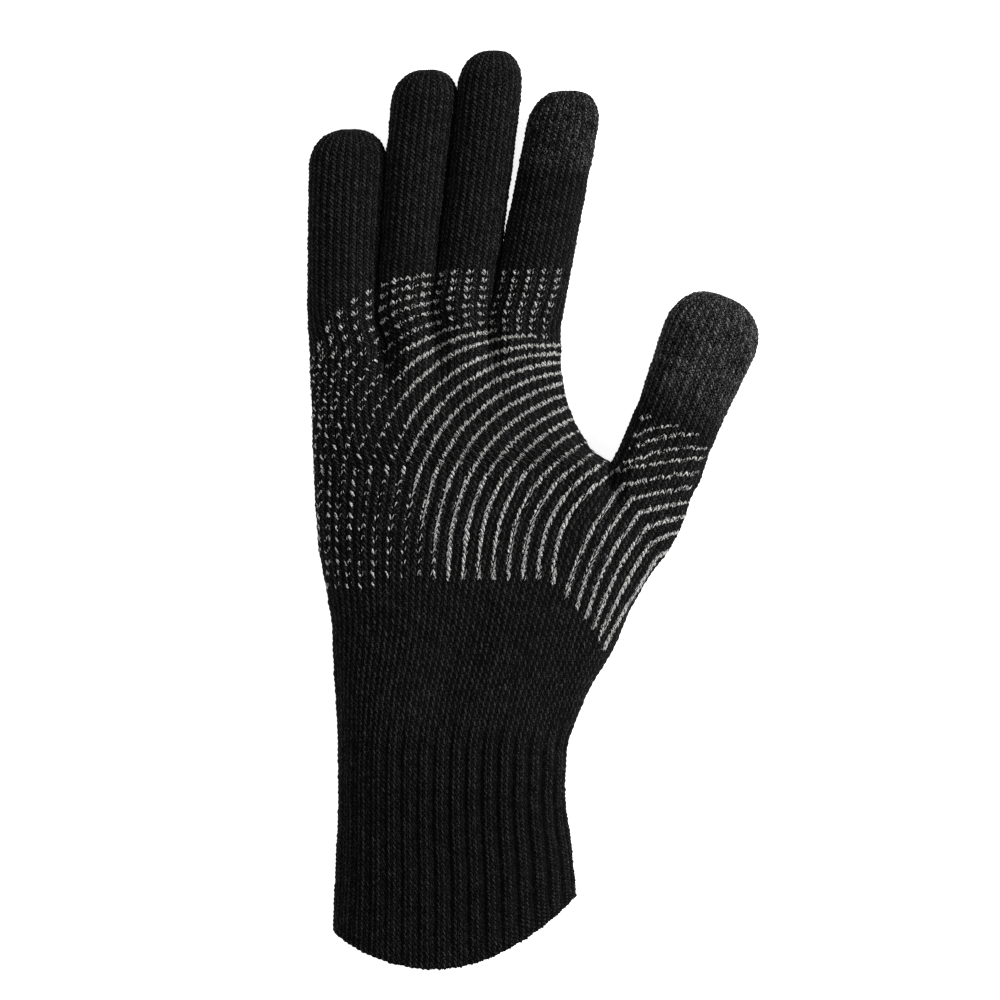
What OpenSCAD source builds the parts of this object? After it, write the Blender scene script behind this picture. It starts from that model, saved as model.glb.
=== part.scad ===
// Seamless knitted glove for the right hand, lying on its back with the palm up.
// Fingers point along +Y, the thumb leans towards +X, and z = 0 is the table.
// Every knitted section is a hollow sleeve. A stretch band closes each place that bends.

/* [Knit] */
// Thickness of the knitted wall
wall = 1.6; // [1.2:0.1:2]
// Gap between a moving section and its stretch band
seam_gap = 0.3; // [0.3:0.1:0.6]
// Half the length of a finger's stretch band
band_half = 6.5; // [6:0.5:7]
// How square the flattened sections are, where 2 is an ellipse
roundness = 2.4; // [2:0.1:3]
// Flats round a section
flats = 28; // [20:4:36]

/* [Cuff] */
// Centre of the cuff across the hand
cuff_x = -23; // [-26:1:-20]
// Half the width of the cuff where it joins the wrist
cuff_half_w = 32.5; // [30:0.5:36]
// Half the width of the cuff at its hem
hem_half_w = 34; // [30:0.5:36]
// Half the height of the open cuff
cuff_half_h = 16; // [13:0.5:17]
// How far the hem sags in the middle
hem_sag = 14; // [6:1:16]
// Slant of the hem in degrees
hem_slant = -8.5; // [-10:0.5:0]
// Lowest point of the hem
hem_y = -130; // [-134:1:-126]
// Width of the turned hem
hem_w = 2.5; // [2:0.5:4]
// Number of inlaid elastic yarns that are shown
elastic_count = 5; // [3:1:5]

/* [Hand] */
// Bend line of the wrist
wrist_y = -62; // [-64:1:-60]
// Half the length of the wrist's stretch band
wrist_band_half = 9; // [8:0.5:10]
// Where the thumb leaves the hand
thumb_split_y = 1; // [0:0.5:3]
// Half the height of the hand over the ball of the thumb
hand_half_h = 17; // [15:0.5:19]
// Half the height of the hand below the fingers
knuckle_half_h = 12.5; // [11.5:0.5:14]

/* [Fingers, little to index] */
// Centre lines across the hand at the base bends
base_x = [-54.2, -36.4, -20.3, -1.9]; // [-56:0.1:0]
// Centre lines across the hand at the middle bends
knuckle_x = [-53.9, -33.9, -15.8, 4]; // [-56:0.1:6]
// Centre lines across the hand at the tips
tip_x = [-52.3, -30.2, -11.7, 9.9]; // [-56:0.1:12]
// Base bend lines
base_y = [52.5, 58.5, 59, 57]; // [50:0.5:60]
// Middle bend lines
knuckle_y = [79, 90, 92, 87]; // [78:0.5:94]
// Fingertips
tip_y = [107.5, 124.5, 130, 118.5]; // [106:0.5:132]
// Half the widths at the base bends
base_half_w = [9.4, 7.5, 7.7, 9.6]; // [7:0.1:9.6]
// Half the widths at the middle bends
knuckle_half_w = [9.5, 8.2, 8.5, 10.1]; // [7:0.1:10.1]
// Half the widths near the tips
tip_half_w = [10.7, 9, 8.8, 9.7]; // [8.5:0.1:10.7]

/* [Thumb] */
// Centre of the thumb where it leaves the hand
thumb_start = [34.3, 8.5]; // [5:0.1:36]
// Lean of the thumb from the fingers in degrees
thumb_lean = 22; // [18:1:24]
// Length of the thumb from there to its tip
thumb_len = 55; // [52:1:58]
// Base bend and middle bend, measured along the thumb
thumb_bends = [3, 27]; // [2:1:29]
// Half the widths at the start, the middle and the tip
thumb_half_w = [12.3, 11.8, 13.4]; // [11:0.1:14]

/* [Grip] */
// Width of a printed grip line
grip_w = 1; // [0.8:0.1:1.4]
// Height of a printed grip line above the knit
grip_h = 0.7; // [0.4:0.1:0.9]
// Spacing of the lines where they start at the heel
grip_pitch_x = 4; // [3.6:0.1:4.4]
// Spacing of the lines where they reach the side of the hand
grip_pitch_y = 3; // [2.8:0.1:3.2]

/* [Hidden] */

LITTLE = 0;
RING = 1;
MIDDLE = 2;
INDEX = 3;

knit = "#1e1e20";
knit_dark = "#141416";
touch_yarn = "#5c5c5e";
silicone = "#c9c9c6";

// Clearance that keeps a printed line off the faceted knit below it.
grip_lift = 0.6;
// Length of the conductive end of the index finger.
touch_len = 22;
// Length of a rounded fingertip.
tip_dome = 10;
finger_half_h = 10;

// ---- Sections --------------------------------------------------------------------------
// A station is [x, y, z, half width, half height, lean, bow]: the centre of a flattened
// section, its size, its turn in the palm's plane, and how far its ends bow towards +Y.

function signed_power(v, p) = sign(v) * pow(abs(v), p);

// The points round one station, kept at or above the level floor_z.
function ring_points(s, floor_z) = [
    for (i = [0 : flats - 1])
        let (t = 360 * i / flats,
             u = signed_power(cos(t), 2 / roundness),
             v = signed_power(sin(t), 2 / roundness))
        [s[0] + s[3] * u * cos(s[5]),
         s[1] - s[3] * u * sin(s[5]) + s[6] * u * u,
         max(floor_z, s[2] + s[4] * v)]];

function thinned(s, by) = [s[0], s[1], s[2], s[3] - by, s[4] - by, s[5], s[6]];

// Height of the smooth top of a station at x.
function top_of(s, x) =
    let (u = min(1, abs(x - s[0]) / s[3]))
    s[2] + s[4] * pow(1 - pow(u, roundness), 1 / roundness);

// Triangles between the rings that start at points a and b; flip turns them inside out.
function side_faces(a, b, flip) = [
    for (i = [0 : flats - 1])
        let (j = (i + 1) % flats,
             quad = [a + i, a + j, b + j, b + i])
        each flip ? [[quad[2], quad[1], quad[0]], [quad[3], quad[2], quad[0]]]
                  : [[quad[0], quad[1], quad[2]], [quad[0], quad[2], quad[3]]]];

function pole_faces(a, pole, flip) = [
    for (i = [0 : flats - 1])
        let (j = (i + 1) % flats)
        flip ? [a + j, a + i, pole] : [a + i, a + j, pole]];

function all_rings(stations, floor_z) = [for (s = stations) each ring_points(s, floor_z)];

// A sleeve that is open at both ends, through stations in the order of their y.
module open_sleeve(stations, thick = wall, floor_z = 0) {
    count = len(stations);
    inner = count * flats;
    last = (count - 1) * flats;
    polyhedron(
        points = concat(all_rings(stations, floor_z),
                        all_rings([for (s = stations) thinned(s, thick)], floor_z + thick)),
        faces = concat(
            [for (k = [0 : count - 2]) each side_faces(k * flats, (k + 1) * flats, false)],
            [for (k = [0 : count - 2])
                each side_faces(inner + k * flats, inner + (k + 1) * flats, true)],
            side_faces(inner, 0, false),
            side_faces(inner + last, last, true)),
        convexity = 6);
}

// A sleeve that is closed at its far end; outer and inner hold as many stations.
module closed_sleeve(outer, inner, tip, inner_tip) {
    count = len(outer);
    inside = count * flats;
    pole = 2 * inside;
    last = (count - 1) * flats;
    polyhedron(
        points = concat(all_rings(outer, 0), all_rings(inner, wall), [tip, inner_tip]),
        faces = concat(
            [for (k = [0 : count - 2]) each side_faces(k * flats, (k + 1) * flats, false)],
            [for (k = [0 : count - 2])
                each side_faces(inside + k * flats, inside + (k + 1) * flats, true)],
            side_faces(inside, 0, false),
            pole_faces(last, pole, false),
            pole_faces(inside + last, pole + 1, true)),
        convexity = 6);
}

// A printed line: a flat bead along the points of path, on a surface of height top(x, y).
module bead(path, top) {
    count = len(path);
    corners = [
        for (k = [0 : count - 1])
            let (a = path[max(0, k - 1)],
                 b = path[min(count - 1, k + 1)],
                 along = (b - a) / norm(b - a),
                 side = [-along[1], along[0]] * grip_w / 2,
                 p = path[k] - side,
                 q = path[k] + side,
                 zp = top(p[0], p[1]) + grip_lift,
                 zq = top(q[0], q[1]) + grip_lift)
            each [[p[0], p[1], zp], [q[0], q[1], zq],
                  [q[0], q[1], zq + grip_h], [p[0], p[1], zp + grip_h]]];
    end = 4 * (count - 1);
    polyhedron(
        points = corners,
        faces = concat(
            [[0, 1, 2], [0, 2, 3], [end + 2, end + 1, end], [end + 3, end + 2, end]],
            [for (k = [0 : count - 2], i = [0 : 3])
                let (j = (i + 1) % 4, a = 4 * k, b = a + 4)
                each [[a + i, b + j, a + j], [a + i, b + i, b + j]]]),
        convexity = 4);
}

// ---- Hand and cuff ---------------------------------------------------------------------

cuff_top_y = wrist_y - wrist_band_half - seam_gap;
hand_foot_y = wrist_y + wrist_band_half;
hem_top_y = hem_y + hem_w;

// Edges of the hand on the little finger's side and on the thumb's side, by y.
little_side = [[hand_foot_y, -56.1], [-33, -57.3], [-11, -61], [thumb_split_y, -62],
               [24, -63], [42, -63.6]];
thumb_side = [[hand_foot_y, 14.8], [-44, 20.5], [-33, 25.6], [-21, 31.5], [-11, 39],
              [thumb_split_y, 44.5]];
index_side = [[thumb_split_y, 18], [16, 15.8], [24, 11.3], [32, 8.6], [42, 7.6]];
hand_height = [[hand_foot_y, cuff_half_h], [-33, hand_half_h - 0.5], [-11, hand_half_h],
               [thumb_split_y, hand_half_h - 0.5], [24, 14.5], [42, knuckle_half_h]];

// How far a section sinks onto the table, which flattens its underside.
function sunk(half_h) = half_h * 0.94;

function hand_station(y, far_side, lean = 0, bow = 0) =
    let (a = lookup(y, little_side), b = lookup(y, far_side), h = lookup(y, hand_height))
    [(a + b) / 2, y, sunk(h), (b - a) / 2, h, lean, bow];

function cuff_station(y) =
    let (share = (cuff_top_y - y) / (cuff_top_y - hem_y),
         bend = pow(share, 1.5))
    [cuff_x, y, sunk(cuff_half_h), cuff_half_w + (hem_half_w - cuff_half_w) * share,
     cuff_half_h, hem_slant * bend, hem_sag * bend];

module cuff_rib() {
    color(knit) open_sleeve([for (k = [0 : 5])
        cuff_station(hem_top_y + (cuff_top_y - hem_top_y) * k / 5)]);
}

module cuff_hem() {
    color(knit_dark) open_sleeve([cuff_station(hem_y), cuff_station(hem_top_y)], wall + 0.4);
}

// Elastic yarn laid into the rib, shown as bands against its inner face.
module cuff_elastic() {
    inner_gap = wall + 0.15;
    elastic_thick = 0.6;
    pitch = (cuff_top_y - hem_top_y) / (elastic_count + 1);
    color("#303033")
    for (k = [1 : elastic_count]) {
        y = hem_top_y + k * pitch;
        open_sleeve([for (step = [-0.6, 0.6]) thinned(cuff_station(y + step), inner_gap)],
                    elastic_thick, inner_gap);
    }
}

module wrist_band() {
    low = cuff_station(cuff_top_y);
    high = hand_station(hand_foot_y, thumb_side);
    middle = [(low[0] + high[0]) / 2 - 0.8, wrist_y, (low[2] + high[2]) / 2,
              (low[3] + high[3]) / 2 - 0.7, (low[4] + high[4]) / 2, 0, 0];
    color(knit) open_sleeve([at_y(low, cuff_top_y + seam_gap), middle, high]);
}

function at_y(s, y) = [s[0], y, s[2], s[3], s[4], s[5], s[6]];

module lower_hand() {
    color(knit) open_sleeve([for (y = [hand_foot_y + 0.02, -44, -33, -21, -11, thumb_split_y])
        hand_station(y, thumb_side)]);
}

// The edge of the upper palm follows the crotches of the fingers.
palm_top_y = 51.6;
palm_top_lean = -1.5;
palm_top_bow = -6;

module upper_palm() {
    color(knit) open_sleeve(concat(
        [for (y = [thumb_split_y + 0.02, 16, 24, 32]) hand_station(y, index_side)],
        [hand_station(42, index_side), palm_edge()]));
}

function palm_edge() = at_y(hand_station(42, index_side, palm_top_lean, palm_top_bow), palm_top_y);

// Where along Y the palm's edge lies at x.
function palm_edge_y(x) =
    let (s = palm_edge(), u = max(-1, min(1, (x - s[0]) / s[3])))
    s[1] - s[3] * u * sin(s[5]) + s[6] * u * u;

// Height of the hand's top. Near the thumb's split it is the higher of the two sections.
function hand_top(x, y) =
    max(y < thumb_split_y + 5 ? top_of(hand_station(min(y, thumb_split_y), thumb_side), x) : 0,
        y > thumb_split_y - 5 ? top_of(hand_station(max(y, thumb_split_y), index_side), x) : 0);

// Lines start upright at the heel and curve over to the index finger's side.
grip_heel_y = -20;
grip_count = 17;

module palm_grip() {
    color(silicone)
    for (k = [0 : grip_count - 1]) {
        foot = [-52 + grip_pitch_x * k, grip_heel_y - max(0, k - 12) * 4.2];
        side = [k < 13 ? 4.5 + max(0, k - 5) * 0.8 : 34.5 - (k - 13) * 1.2,
                k < 13 ? 41.5 - grip_pitch_y * k : -5 - (k - 13) * 4.6];
        bead([for (t = [4 : 86 / 28 : 90.1])
                 [side[0] - (side[0] - foot[0]) * cos(t), foot[1] + (side[1] - foot[1]) * sin(t)]],
             function(x, y) hand_top(x, y));
    }
}

// ---- Fingers ---------------------------------------------------------------------------

// Centre line of a finger across the hand: a parabola through its three named places.
function finger_x(f, y) =
    let (a = base_y[f], b = knuckle_y[f], c = tip_y[f])
    base_x[f] * (y - b) * (y - c) / ((a - b) * (a - c))
    + knuckle_x[f] * (y - a) * (y - c) / ((b - a) * (b - c))
    + tip_x[f] * (y - a) * (y - b) / ((c - a) * (c - b));

// Half a finger's width changes evenly between its bends and the start of its rounded tip.
function finger_station(f, y) =
    [finger_x(f, y), y, sunk(finger_half_h),
     lookup(y, [[base_y[f], base_half_w[f]], [knuckle_y[f], knuckle_half_w[f]],
                [tip_y[f] - tip_dome, tip_half_w[f]]]),
     finger_half_h, 0, 0];

function dome_angles() = [0, 25, 45, 62, 76];

// Stations of a rounded tip, drawn in by inset all over.
function finger_dome(f, inset) = [
    for (a = dome_angles())
        let (y0 = tip_y[f] - tip_dome,
             s = finger_station(f, y0),
             y = y0 + (tip_dome - inset) * sin(a))
        [finger_x(f, y), y, s[2], (s[3] - inset) * cos(a), (s[4] - inset) * cos(a), 0, 0]];

module finger_end(f, from_y) {
    y0 = tip_y[f] - tip_dome;
    z = finger_station(f, y0)[2];
    foot = finger_station(f, from_y);
    closed_sleeve(concat([foot], finger_dome(f, 0)),
                  concat([thinned(foot, wall)], finger_dome(f, wall)),
                  [tip_x[f], tip_y[f], z], [tip_x[f], tip_y[f] - wall, z]);
}

module finger_tube(f, from_y, to_y) {
    open_sleeve([for (k = [0 : 2]) finger_station(f, from_y + (to_y - from_y) * k / 2)]);
}

module base_band(f) {
    half = base_half_w[f];
    from_y = max(palm_edge_y(base_x[f] - half), palm_edge_y(base_x[f] + half)) + seam_gap;
    open_sleeve([finger_station(f, from_y), finger_station(f, base_y[f]),
                 finger_station(f, base_y[f] + band_half - seam_gap)]);
}

module lower_finger(f) {
    finger_tube(f, base_y[f] + band_half, knuckle_y[f] - band_half);
}

module knuckle_band(f) {
    finger_tube(f, knuckle_y[f] - band_half + 0.02, knuckle_y[f] + band_half - seam_gap);
}

// Short rows of grip across the base of a finger.
module finger_grip(f, rise) {
    row_pitch = 2.9;
    for (k = [0 : 2]) {
        y = base_y[f] - 1.4 + k * row_pitch;
        half = finger_station(f, y)[3] * 0.62;
        x = finger_x(f, y);
        bead([for (t = [-1 : 0.25 : 1]) [x + half * t, y + rise * t]],
             function(px, py) top_of(finger_station(f, py), px));
    }
}

module little_base_band() { color(knit) base_band(LITTLE); }
module little_grip() { color(silicone) finger_grip(LITTLE, 1.6); }
module little_lower() { color(knit) lower_finger(LITTLE); }
module little_knuckle_band() { color(knit) knuckle_band(LITTLE); }
module little_upper() { color(knit) finger_end(LITTLE, knuckle_y[LITTLE] + band_half); }

module ring_base_band() { color(knit) base_band(RING); }
module ring_grip() { color(silicone) finger_grip(RING, 0.9); }
module ring_lower() { color(knit) lower_finger(RING); }
module ring_knuckle_band() { color(knit) knuckle_band(RING); }
module ring_upper() { color(knit) finger_end(RING, knuckle_y[RING] + band_half); }

module middle_base_band() { color(knit) base_band(MIDDLE); }
module middle_grip() { color(silicone) finger_grip(MIDDLE, 0.4); }
module middle_lower() { color(knit) lower_finger(MIDDLE); }
module middle_knuckle_band() { color(knit) knuckle_band(MIDDLE); }
module middle_upper() { color(knit) finger_end(MIDDLE, knuckle_y[MIDDLE] + band_half); }

module index_base_band() { color(knit) base_band(INDEX); }
module index_grip() { color(silicone) finger_grip(INDEX, 0.4); }
module index_lower() { color(knit) lower_finger(INDEX); }
module index_knuckle_band() { color(knit) knuckle_band(INDEX); }

// The plain knit above the index finger's middle bend, up to its conductive end.
module index_upper() {
    color(knit) finger_tube(INDEX, knuckle_y[INDEX] + band_half, tip_y[INDEX] - touch_len);
}

module index_touch_tip() {
    color(touch_yarn) finger_end(INDEX, tip_y[INDEX] - touch_len + 0.02);
}

// ---- Thumb -----------------------------------------------------------------------------

thumb_dome = 12;
thumb_half_h = 11.5;

// A station across the thumb at the distance d along it.
function thumb_station(d) =
    [thumb_start[0] + d * sin(thumb_lean), thumb_start[1] + d * cos(thumb_lean),
     sunk(thumb_half_h),
     lookup(d, [[0, thumb_half_w[0]], [20, thumb_half_w[1]], [40, thumb_half_w[2]]]),
     thumb_half_h, thumb_lean, 0];

function thumb_dome_stations(inset) = [
    for (a = dome_angles())
        let (d = thumb_len - thumb_dome + (thumb_dome - inset) * sin(a),
             s = thumb_station(d))
        [s[0], s[1], s[2], (s[3] - inset) * cos(a), (s[4] - inset) * cos(a), s[5], 0]];

function thumb_tip_point(d) = let (s = thumb_station(d)) [s[0], s[1], s[2]];

// The band starts square to the fingers, beside the upper palm, and turns to the thumb.
module thumb_base_band() {
    foot = thumb_station(-6);
    start = [foot[0] + 0.9, thumb_split_y + 0.4, foot[2], thumb_half_w[0] - 0.6, thumb_half_h, 2, 0];
    turn = thumb_station(thumb_bends[0]);
    color(knit) open_sleeve([start,
        [turn[0] - 0.6, turn[1] - 2.6, turn[2], turn[3], turn[4], 14, 0],
        thumb_station(thumb_bends[0] + 6 - seam_gap)]);
}

module thumb_lower() {
    color(knit) open_sleeve([for (d = [thumb_bends[0] + 6, 15, thumb_bends[1] - 6])
        thumb_station(d)]);
}

module thumb_knuckle_band() {
    color(touch_yarn) open_sleeve([for (d = [-5.98, 0, 6 - seam_gap])
        thumb_station(thumb_bends[1] + d)]);
}

module thumb_touch_tip() {
    foot = thumb_station(thumb_bends[1] + 6);
    color(touch_yarn) closed_sleeve(
        concat([foot, thumb_station(38)], thumb_dome_stations(0)),
        concat([thinned(foot, wall), thinned(thumb_station(38), wall)], thumb_dome_stations(wall)),
        thumb_tip_point(thumb_len), thumb_tip_point(thumb_len - wall));
}

// Height of the thumb's top, where a point is measured across its leaning line.
function thumb_top(x, y) =
    let (dx = x - thumb_start[0], dy = y - thumb_start[1],
         along = dx * sin(thumb_lean) + dy * cos(thumb_lean),
         across = dx * cos(thumb_lean) - dy * sin(thumb_lean),
         s = thumb_station(along))
    s[2] + s[4] * pow(1 - pow(min(1, abs(across) / s[3]), roundness), 1 / roundness);

module thumb_grip() {
    color(silicone)
    for (d = [11, 14, 17]) {
        s = thumb_station(d);
        bead([for (t = [-0.75 : 0.25 : 0.75])
                 [s[0] + s[3] * t * cos(14), s[1] - s[3] * t * sin(14)]],
             function(x, y) thumb_top(x, y));
    }
}

// ---- Nodes -----------------------------------------------------------------------------

cuff_rib();
cuff_hem();
cuff_elastic();
wrist_band();
lower_hand();
upper_palm();
palm_grip();
little_base_band();
little_grip();
little_lower();
little_knuckle_band();
little_upper();
ring_base_band();
ring_grip();
ring_lower();
ring_knuckle_band();
ring_upper();
middle_base_band();
middle_grip();
middle_lower();
middle_knuckle_band();
middle_upper();
index_base_band();
index_grip();
index_lower();
index_knuckle_band();
index_upper();
index_touch_tip();
thumb_base_band();
thumb_grip();
thumb_lower();
thumb_knuckle_band();
thumb_touch_tip();
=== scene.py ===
"""A knitted touchscreen glove for the right hand, lying on its back with the palm up.

Fingers point along +Y and the thumb leans towards +X. Lengths are in millimetres here and
go into each mesh in metres. Every knitted piece is one surface on a grid: rings of points
round the tube, carried along it, with a stitch relief laid on along the normals. A wale is
a column of stitches and a course is a row of them.
"""
import math

import bpy
import numpy as np
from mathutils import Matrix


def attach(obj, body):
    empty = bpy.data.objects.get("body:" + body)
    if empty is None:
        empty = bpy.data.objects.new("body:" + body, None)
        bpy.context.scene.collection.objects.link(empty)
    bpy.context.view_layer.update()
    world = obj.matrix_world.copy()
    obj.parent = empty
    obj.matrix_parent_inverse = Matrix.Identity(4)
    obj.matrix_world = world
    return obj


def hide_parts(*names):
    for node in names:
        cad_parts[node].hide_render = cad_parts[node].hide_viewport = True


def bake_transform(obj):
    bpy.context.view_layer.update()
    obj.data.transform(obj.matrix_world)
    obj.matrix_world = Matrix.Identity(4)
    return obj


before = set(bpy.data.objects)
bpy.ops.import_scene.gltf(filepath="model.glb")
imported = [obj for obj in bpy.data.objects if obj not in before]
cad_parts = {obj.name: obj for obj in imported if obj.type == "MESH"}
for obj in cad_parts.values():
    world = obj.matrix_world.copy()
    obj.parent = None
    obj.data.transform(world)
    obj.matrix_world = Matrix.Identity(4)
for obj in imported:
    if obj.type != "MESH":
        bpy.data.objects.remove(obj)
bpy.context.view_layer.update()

MM = 0.001
COLS = 6  # mesh columns in one wale
ROWS = 4  # mesh rows in one course
POWER = 2.4  # how square a section is, where 2 is an ellipse
SUNK = 0.94  # how much of a section's lower half height stands clear of the table
APEX = 4 / 6  # where the point of a V stitch lies across its wale
NEST = 1.2  # how many courses the point of a V reaches down

# ---- Sizes of the tube, as (place along the hand, size) pairs --------------------------------
LITTLE_SIDE = [(-130, -57), (-104, -55.9), (-84, -55.3), (-67, -55.4), (-53, -56.1), (-33, -57.2),
               (-21, -59.3), (-11, -61.1), (2, -61.9), (16, -62.7), (39, -63.3), (50, -63.8)]
THUMB_SIDE = [(-130, 11.7), (-104, 10.3), (-94, 9.1), (-84, 8.3), (-67, 9.1), (-53, 14.8),
              (-44, 20.5), (-33, 25.6), (-21, 31.3), (-11, 39.3), (2, 44.7)]
INDEX_SIDE = [(11.1, 21.9), (16, 16.2), (24.5, 11.1), (32.5, 8.6), (42, 7.3), (50, 7.4)]
HALF_HEIGHT = [(-75, 16), (-53, 16), (-33, 16.5), (-11, 17), (2, 16.5), (24, 14.5), (42, 12.5),
               (50, 11.2)]
TIGHTNESS = [(-75, 0.0), (-50, 0.1), (-30, 0.35), (40, 0.3)]
COURSE = [(-130, 1.54), (-75, 1.6), (-60, 1.68), (-20, 1.68), (10, 1.5), (40, 1.46), (52, 1.4)]
CROTCH_ROW = [(-64, 43.2), (-53, 44), (-41.6, 45.3), (-35, 49.6), (-27.4, 51.3), (-20, 51.9),
              (-12.3, 50.7), (-3, 49.6), (8, 46.6)]
FORKS = (-41.6, -27.4, -12.3)  # across the hand, where two fingers part
THUMB_FORK = (21.9, 11.1)
THUMB_FALL = 9.4  # how much lower the thumb's seam is at the outer side of the hand
CROTCH = 50.0  # level of the crotch row before it curves
CUFF_TOP, HEM = -71.3, -130.0
HEM_ROLL = 0.9  # radius that the hem's edge rolls in round
HEM_SLANT, HEM_SAG = math.radians(-8.5), 14.0

# Wales in the front, right wall, back and left wall of each tube.
HAND_WALES = (48, 5, 48, 4)
PALM_WALES = (36, 6, 36, 4)
FINGERS = {
    "little": dict(first=0, wales=(10, 6, 10, 4), y=(52.5, 79, 107.5), x=(-54.2, -53.9, -52.3),
                   half_w=(10.0, 10.2, 10.8)),
    "ring": dict(first=10, wales=(8, 6, 8, 6), y=(58.5, 90, 124.5), x=(-36.4, -33.9, -30.2),
                 half_w=(8.2, 8.8, 9.3)),
    "middle": dict(first=18, wales=(8, 6, 8, 6), y=(59, 92, 130), x=(-20.3, -15.8, -11.7),
                   half_w=(8.6, 8.7, 8.9)),
    "index": dict(first=26, wales=(10, 6, 10, 6), y=(57, 87, 118.5), x=(-1.9, 4, 9.9),
                  half_w=(10.2, 10.1, 9.9)),
}
FINGER_HALF_H, FINGER_DOME = 10.0, 11.0
THUMB_WALES = (12, 5, 12, 6)
THUMB_START, THUMB_LEAN, THUMB_LEN = (34.3, 8.5), math.radians(22), 55.0
THUMB_HALF_W = [(0, 12.3), (20, 11.8), (40, 13.4)]
THUMB_HALF_H, THUMB_DOME = 11.5, 13.0
CLOSING = 6.0  # length over which stitches shrink towards a closed end

# ---- Where the glove bends ------------------------------------------------------------------
WRIST_FOLD = ((-22.5, -50, 0), (-22.5, -74, 0))
FINGER_BASE_FOLD = (51.4, 68.5)  # along Y
KNUCKLE_REACH = 11  # each way from the middle of a finger
FINGER_AXIS, THUMB_AXIS = 12.9, 14.8  # heights of the joints
THUMB_BASE_FOLD, THUMB_KNUCKLE_FOLD = (-2.3, 14), (17, 37)  # along the thumb

# ---- Where the pieces of the hand end and its touch tips and print begin ---------------------
CUFF_END, WRIST_END = -78, -45
INDEX_TOUCH_FROM, THUMB_TOUCH_FROM = 93.5, 15.5
HEEL_PRINT_FROM, FINGER_PRINT, THUMB_PRINT = -44, 24, 19
INNER_FACE, ELASTIC_DEPTH, ELASTIC_RADIUS = 1.8, 2.4, 0.4  # depths inside the outer face


def ease(t):
    """The smooth step 3t^2 - 2t^3, held at 0 and 1 outside."""
    t = np.clip(t, 0, 1)
    return t * t * (3 - 2 * t)


def size_at(place, table, soft=3.0):
    """A size read off a table of pairs: straight between the places, and rounded at them by
    the mean of seven readings over soft mm each way."""
    places, sizes = np.array(table, float).T
    spread = np.linspace(-soft, soft, 7)
    return np.interp(np.asarray(place, float)[..., None] + spread, places, sizes).mean(-1)


def section(wales, half_w, half_h, tight=0.0):
    """Points (x, z) round the superellipse |x/a|^n + |z/b|^n = 1, standing on z = 0.

    They run clockwise from the left end of the front, COLS to a wale. Wales are evenly
    spaced along the edge, but up to 1 + tight times closer on the flat front and back."""
    t = np.linspace(0, 2 * np.pi, 1441)
    x = half_w * np.sign(np.sin(t)) * abs(np.sin(t)) ** (2 / POWER)
    z = half_h * np.sign(np.cos(t)) * abs(np.cos(t)) ** (2 / POWER)
    z = np.maximum(z, -SUNK * half_h) + SUNK * half_h
    weight = 1 + tight * abs(np.cos((t[1:] + t[:-1]) / 2))
    run = np.concatenate([[0], np.cumsum(np.hypot(np.diff(x), np.diff(z)) * weight)])
    total = sum(wales)
    place = (np.arange(total * COLS) / COLS - wales[0] / 2) / total % 1 * run[-1]
    return np.interp(place, run, x), np.interp(place, run, z)


def parted(x, z, wales, forks, columns, share, groove, lift):
    """The section drawn in at the places where it parts into fingers.

    Front and back are stretched along x so that the wale that starts a finger lies at its
    fork, and a rounded groove runs along each fork, by share from 0, not at all, to 1."""
    front, right = wales[:2]
    left_x, right_x, mid = x.min(), x.max(), z.max() / 2
    upper = z >= mid
    for half, at in ((upper, columns), (~upper, [front + right + front - c for c in columns])):
        here = x[[c * COLS for c in at]]
        want = here + (np.array(forks) - here) * share
        x = np.where(half, np.interp(x, [left_x, *here, right_x], [left_x, *want, right_x]), x)
    near = sum(np.exp(-(((x - fork) / 3.2) ** 2)) for fork in forks) * share**1.5
    return x, np.where(upper, z - groove * near, z + lift * near)


def hand_ring(level):
    """One ring of the cuff, wrist and hand below the thumb's crotch, at a level along Y.

    The hem's rings slant and sag: y = level - a u sin(slant) + sag u^2, u = x/a. Towards
    the thumb's crotch the rings fall away on the thumb's side of the fork."""
    fall = ease((level + 22) / (THUMB_FORK[1] + 22))
    left = size_at(level, LITTLE_SIDE)
    right = size_at(level - THUMB_FALL * fall, THUMB_SIDE)
    half_w = (right - left) / 2
    x, z = section(HAND_WALES, half_w, size_at(level, HALF_HEIGHT), size_at(level, TIGHTNESS))
    x = x + (left + right) / 2
    x, z = parted(x, z, HAND_WALES, [THUMB_FORK[0]], [PALM_WALES[0]],
                  ease((level + 8) / 19), 9.0, 3.0)
    bend = np.clip((CUFF_TOP - level) / (CUFF_TOP - HEM), 0, None) ** 1.5
    u = (x - (left + right) / 2) / half_w
    y = level - half_w * u * math.sin(HEM_SLANT * bend) + HEM_SAG * bend * u**2
    y = y - THUMB_FALL * fall * np.clip((x - THUMB_FORK[0]) / (right - THUMB_FORK[0]), 0, 1.1)
    return np.stack([x, y, z + np.where(z > z.max() / 2, drape(x, y), 0)], 1)


def drape(x, y):
    """Height of the slack fabric at the wrist: one slanting hollow towards the little finger's
    side and one ridge down the thumb's side, each a bell across a straight line."""
    total = 0.0
    for (ax, ay), (bx, by), depth, width in (((-10, -24), (-33, -64), -2.0, 6.0),
                                             ((20, -24), (8, -68), 1.1, 3.5)):
        length = math.hypot(bx - ax, by - ay)
        ux, uy = (bx - ax) / length, (by - ay) / length
        along = (x - ax) * ux + (y - ay) * uy
        off = (x - ax) * uy - (y - ay) * ux
        fade = ease(along / 16) * ease((length - along) / 16)
        total = total + depth * fade * np.exp(-((off / width) ** 2))
    return total


def wall_line(a, b, wales, inward):
    """The wall of a new tube between the ends a and b of a crotch, bowed inward a little."""
    t = np.arange(wales * COLS)[:, None] / (wales * COLS)
    line = a + (b - a) * t
    line[:, 0] += inward * np.sin(np.pi * t[:, 0])
    return line


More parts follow.
